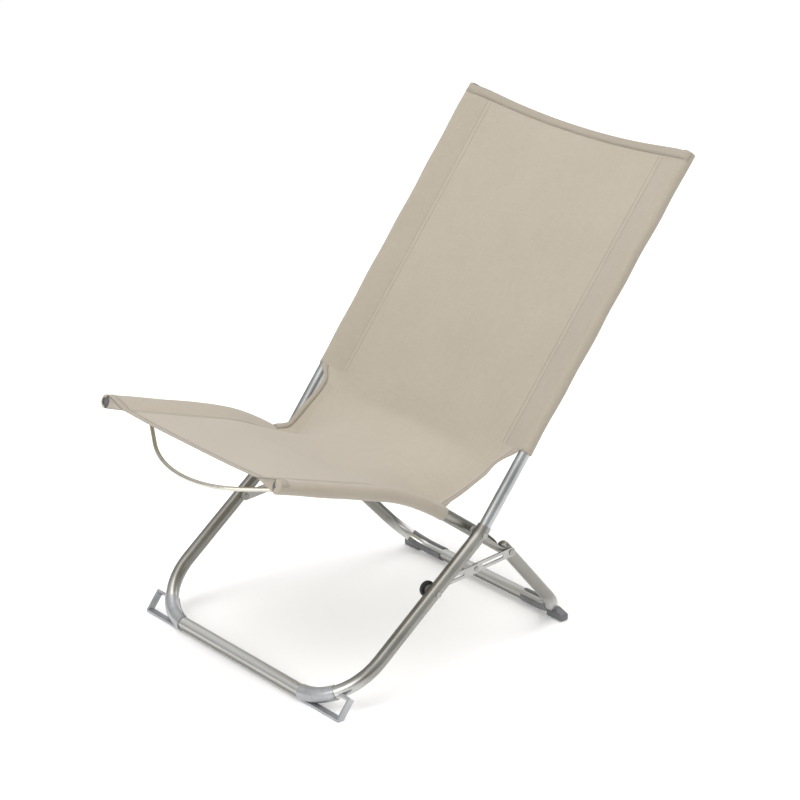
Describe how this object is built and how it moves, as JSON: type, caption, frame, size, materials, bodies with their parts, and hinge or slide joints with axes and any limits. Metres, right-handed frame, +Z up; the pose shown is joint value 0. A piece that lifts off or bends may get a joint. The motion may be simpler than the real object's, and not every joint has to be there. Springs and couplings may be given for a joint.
{
  "type": "folding chair",
  "caption": "low folding sling chair with a bent tube cross frame, folding side stays, wire spreader bows, corner feet and one stretched fabric seat and back",
  "frame": {"origin": "middle of the footprint, on the floor", "axes": "-Y is the way the sitter faces, +X is the sitter's left, +Z is up"},
  "size_m": [0.5338, 0.8384, 0.7725],
  "materials": {
    "leg_steel": "satin silver-grey powder coat",
    "back_steel": "satin silver-grey powder coat",
    "bow_steel": "satin silver-grey powder coat",
    "stay_steel": "satin",
    "rivet_steel": "satin",
    "foot_plastic": "fine texture",
    "cap_plastic": "fine texture",
    "knob_plastic": "fine texture",
    "sling_fabric": "close plain weave"
  },
  "bodies": {
    "back_and_front_legs": {"front_leg_frame": "leg_steel", "back_tube_left": "back_steel", "back_tube_right": "back_steel", "back_tube_cap_left": "cap_plastic", "back_tube_cap_right": "cap_plastic", "front_foot_left": "foot_plastic", "front_foot_right": "foot_plastic", "back_spreader_bow": "bow_steel", "main_pivot_pins": "rivet_steel", "main_pivot_washers": "knob_plastic", "stay_foot_pin_left": "rivet_steel", "stay_foot_pin_right": "rivet_steel", "stay_foot_knob": "knob_plastic", "stay_foot_spacers": "knob_plastic", "back_fabric": "sling_fabric"},
    "seat_and_rear_legs": {"rear_leg_frame": "leg_steel", "seat_tube_left": "leg_steel", "seat_tube_right": "leg_steel", "seat_tube_cap_left": "cap_plastic", "seat_tube_cap_right": "cap_plastic", "rear_foot_left": "foot_plastic", "rear_foot_right": "foot_plastic", "front_spreader_bow": "bow_steel", "stay_top_pins": "rivet_steel", "seat_fabric": "sling_fabric"},
    "lower_stay_left": {"stay_lower_left": "stay_steel", "stay_knee_rivet_left": "rivet_steel"},
    "lower_stay_right": {"stay_lower_right": "stay_steel", "stay_knee_rivet_right": "rivet_steel"},
    "upper_stay_left": {"stay_upper_left": "stay_steel"},
    "upper_stay_right": {"stay_upper_right": "stay_steel"}
  },
  "joints": [
    {"name": "fold", "type": "hinge", "parent": "back_and_front_legs", "child": "seat_and_rear_legs", "pos_m": [0, -0.03692, 0.23187], "axis": [-1, 0, 0], "range_deg": [0, 88]},
    {"name": "stay_foot_left", "type": "hinge", "parent": "back_and_front_legs", "child": "lower_stay_left", "pos_m": [0.236, -0.12822, 0.15951], "axis": [1, 0, 0], "range_deg": [0, 36]},
    {"name": "stay_top_left", "type": "hinge", "parent": "seat_and_rear_legs", "child": "upper_stay_left", "pos_m": [0.236, 0.04095, 0.17403], "axis": [-1, 0, 0], "range_deg": [0, 46]},
    {"name": "stay_foot_right", "type": "hinge", "parent": "back_and_front_legs", "child": "lower_stay_right", "pos_m": [-0.236, -0.12822, 0.15951], "axis": [1, 0, 0], "range_deg": [0, 36]},
    {"name": "stay_top_right", "type": "hinge", "parent": "seat_and_rear_legs", "child": "upper_stay_right", "pos_m": [-0.236, 0.04095, 0.17403], "axis": [-1, 0, 0], "range_deg": [0, 46]}
  ],
  "couplings": [
    {"joint": "stay_foot_left", "follows": "fold", "ratio": 0.401},
    {"joint": "stay_top_left", "follows": "fold", "ratio": 0.517},
    {"joint": "stay_foot_right", "follows": "fold", "ratio": 0.401},
    {"joint": "stay_top_right", "follows": "fold", "ratio": 0.517}
  ]
}
